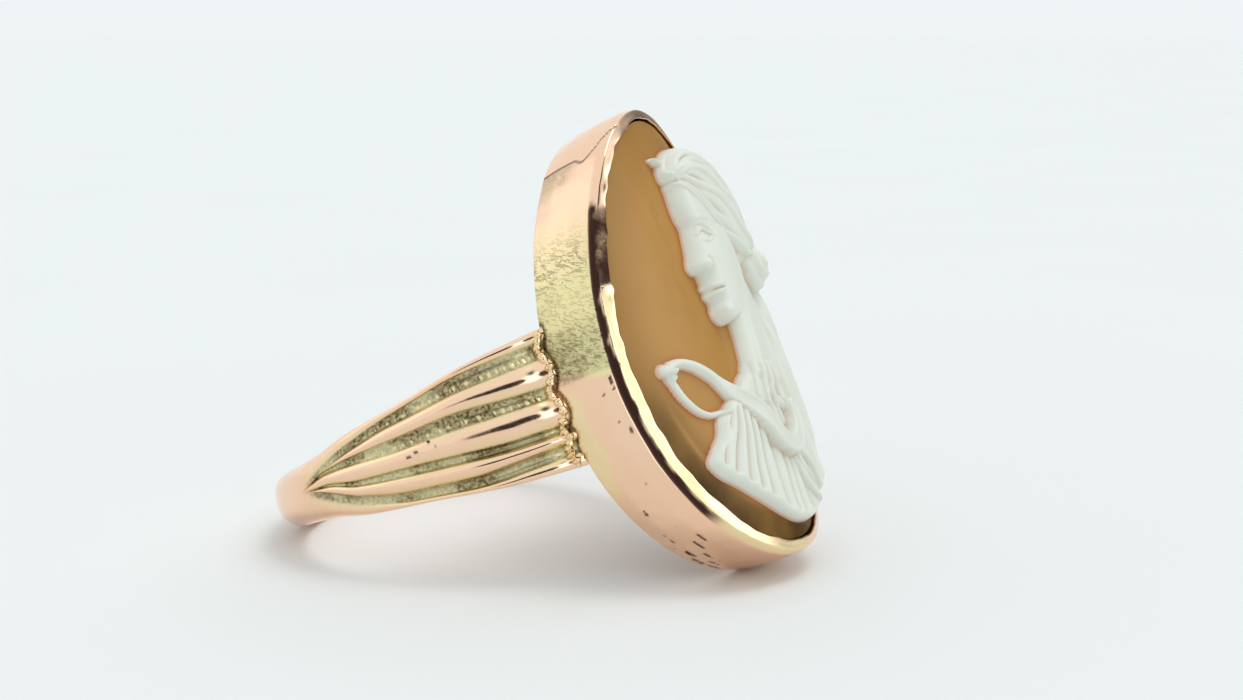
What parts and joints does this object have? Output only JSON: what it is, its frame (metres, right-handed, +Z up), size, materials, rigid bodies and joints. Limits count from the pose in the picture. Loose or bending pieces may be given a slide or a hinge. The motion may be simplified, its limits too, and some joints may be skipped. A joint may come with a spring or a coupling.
{
  "type": "cameo ring",
  "caption": "Gold finger ring with fluted shoulders and a long oval setting that holds a carved shell cameo, lying on its side.",
  "frame": {"origin": "middle of the bounding box's base, on the surface that the ring lies on", "axes": "+Z up, +Y from the cameo towards the back of the shank, so the cameo looks along -Y; the figure's head is towards +Z and the figure faces -X; the finger's axis lies in the YZ plane"},
  "size_m": [0.02, 0.027, 0.0207],
  "materials": {
    "rose_gold": "polished, with worn and tarnished places",
    "carved_shell": "carved and polished shell, pale relief on a brown ground"
  },
  "bodies": {
    "root": {"ring_mount": "rose_gold", "cameo": "carved_shell"}
  },
  "joints": []
}
